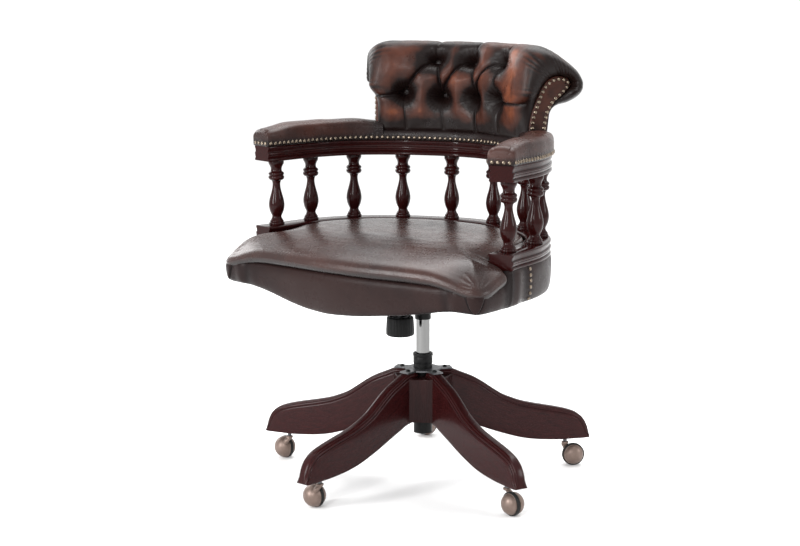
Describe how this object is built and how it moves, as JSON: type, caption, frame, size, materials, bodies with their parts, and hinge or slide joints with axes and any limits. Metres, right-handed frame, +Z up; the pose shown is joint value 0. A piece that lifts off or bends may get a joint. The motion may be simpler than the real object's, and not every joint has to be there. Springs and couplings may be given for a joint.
{
  "type": "swivel office chair",
  "caption": "Swivel office chair with deep-buttoned roll back, bow arm on turned spindles, leather seat, gas lift, tilt mechanism and timber star base on ball castors.",
  "frame": {"origin": "on the swivel axis, at the level of the floor the castors stand on", "axes": "+Z up along the swivel axis, -Y the way the sitter faces, +X the sitter's left"},
  "size_m": [0.6748, 0.6539, 0.858],
  "materials": {
    "mahogany": "glossy dark mahogany",
    "grey_steel": "zinc plated",
    "black_steel": "satin black",
    "black_plastic": "satin",
    "black_rubber": "matt",
    "chrome": "polished",
    "plywood": "raw",
    "cover_cloth": "matt",
    "seat_leather": "glossy antique leather",
    "back_leather": "glossy two-tone antique leather",
    "antique_brass": "antique",
    "castor_bronze": "satin bronze"
  },
  "bodies": {
    "base": {"base_hub": "mahogany", "leg_1": "mahogany", "leg_2": "mahogany", "leg_3": "mahogany", "leg_4": "mahogany", "leg_5": "mahogany", "hub_plate": "grey_steel", "plate_screws": "black_steel", "castor_sockets": "grey_steel", "column_tube": "black_steel", "column_bush": "black_plastic", "piston_rod": "grey_steel", "column_clip": "grey_steel"},
    "piston": {"gas_cylinder": "chrome"},
    "valve": {"release_pin": "grey_steel"},
    "mech": {"tilt_housing": "black_steel", "tilt_pin": "grey_steel", "lever_pin": "grey_steel", "stop_bumper": "black_rubber", "tension_spring": "grey_steel"},
    "lever": {"height_lever": "black_plastic"},
    "knob": {"tension_knob": "black_plastic"},
    "seat": {"tilt_plate": "black_steel", "tension_bolt": "grey_steel", "mech_bolts": "grey_steel", "seat_board": "plywood", "dust_cover": "cover_cloth", "seat_cushion": "seat_leather", "seat_border": "seat_leather", "seat_rail": "mahogany", "spindle_01": "mahogany", "spindle_02": "mahogany", "spindle_03": "mahogany", "spindle_04": "mahogany", "spindle_05": "mahogany", "spindle_06": "mahogany", "spindle_07": "mahogany", "spindle_08": "mahogany", "spindle_09": "mahogany", "spindle_10": "mahogany", "arm_bow": "mahogany", "arm_pad_left": "back_leather", "arm_pad_right": "back_leather", "back_band": "back_leather", "back_frame": "plywood", "back_cushion": "back_leather", "back_facing_left": "back_leather", "back_facing_right": "back_leather", "back_buttons": "back_leather", "upholstery_nails": "antique_brass"},
    "castor_1": {"castor_1_hood": "castor_bronze"},
    "wheel_1": {"castor_1_wheel": "castor_bronze"},
    "castor_2": {"castor_2_hood": "castor_bronze"},
    "wheel_2": {"castor_2_wheel": "castor_bronze"},
    "castor_3": {"castor_3_hood": "castor_bronze"},
    "wheel_3": {"castor_3_wheel": "castor_bronze"},
    "castor_4": {"castor_4_hood": "castor_bronze"},
    "wheel_4": {"castor_4_wheel": "castor_bronze"},
    "castor_5": {"castor_5_hood": "castor_bronze"},
    "wheel_5": {"castor_5_wheel": "castor_bronze"}
  },
  "joints": [
    {"name": "lift", "type": "slide", "parent": "base", "child": "piston", "axis": [0, 0, 1], "range_m": [-0.045, 0.05]},
    {"name": "swivel", "type": "hinge", "parent": "piston", "child": "mech", "pos_m": [0, 0, 0.34], "axis": [0, 0, 1], "continuous": true},
    {"name": "tilt", "type": "hinge", "parent": "mech", "child": "seat", "pos_m": [0, -0.03, 0.369], "axis": [-1, 0, 0], "range_deg": [0, 10], "stiffness_Nm_per_rad": 120, "springref_deg": -11.46, "deforming": ["tension_spring"]},
    {"name": "tension_knob_turn", "type": "hinge", "parent": "seat", "child": "knob", "pos_m": [0, -0.074, 0.32], "axis": [0, 0, 1], "range_deg": [-720, 720]},
    {"name": "lever_lift", "type": "hinge", "parent": "mech", "child": "lever", "pos_m": [0.03, 0, 0.3658], "axis": [0, -1, 0], "range_deg": [0, 6], "stiffness_Nm_per_rad": 2, "springref_deg": -8.59},
    {"name": "valve_press", "type": "slide", "parent": "piston", "child": "valve", "axis": [0, 0, -1], "range_m": [0, 0.0036]},
    {"name": "castor_1_swivel", "type": "hinge", "parent": "base", "child": "castor_1", "pos_m": [-0.01731, -0.3002, 0.07], "axis": [0, 0, 1], "continuous": true},
    {"name": "castor_1_roll", "type": "hinge", "parent": "castor_1", "child": "wheel_1", "pos_m": [-0.03394, -0.29667, 0.023], "axis": [-0.2079, -0.9781, 0], "continuous": true},
    {"name": "castor_2_swivel", "type": "hinge", "parent": "base", "child": "castor_2", "pos_m": [0.28016, -0.10923, 0.07], "axis": [0, 0, 1], "continuous": true},
    {"name": "castor_2_roll", "type": "hinge", "parent": "castor_2", "child": "wheel_2", "pos_m": [0.29658, -0.11363, 0.023], "axis": [0.2588, 0.9659, 0], "continuous": true},
    {"name": "castor_3_swivel", "type": "hinge", "parent": "base", "child": "castor_3", "pos_m": [0.19046, 0.23269, 0.07], "axis": [0, 0, 1], "continuous": true},
    {"name": "castor_3_roll", "type": "hinge", "parent": "castor_3", "child": "wheel_3", "pos_m": [0.20248, 0.24471, 0.023], "axis": [-0.7071, 0.7071, 0], "continuous": true},
    {"name": "castor_4_swivel", "type": "hinge", "parent": "base", "child": "castor_4", "pos_m": [-0.16245, 0.25304, 0.07], "axis": [0, 0, 1], "continuous": true},
    {"name": "castor_4_roll", "type": "hinge", "parent": "castor_4", "child": "wheel_4", "pos_m": [-0.17843, 0.24723, 0.023], "axis": [0.342, -0.9397, 0], "continuous": true},
    {"name": "castor_5_swivel", "type": "hinge", "parent": "base", "child": "castor_5", "pos_m": [-0.29086, -0.0763, 0.07], "axis": [0, 0, 1], "continuous": true},
    {"name": "castor_5_roll", "type": "hinge", "parent": "castor_5", "child": "wheel_5", "pos_m": [-0.30742, -0.07248, 0.023], "axis": [-0.225, -0.9744, 0], "continuous": true}
  ],
  "couplings": [
    {"joint": "valve_press", "follows": "lever_lift", "m_per_rad": 0.03}
  ]
}
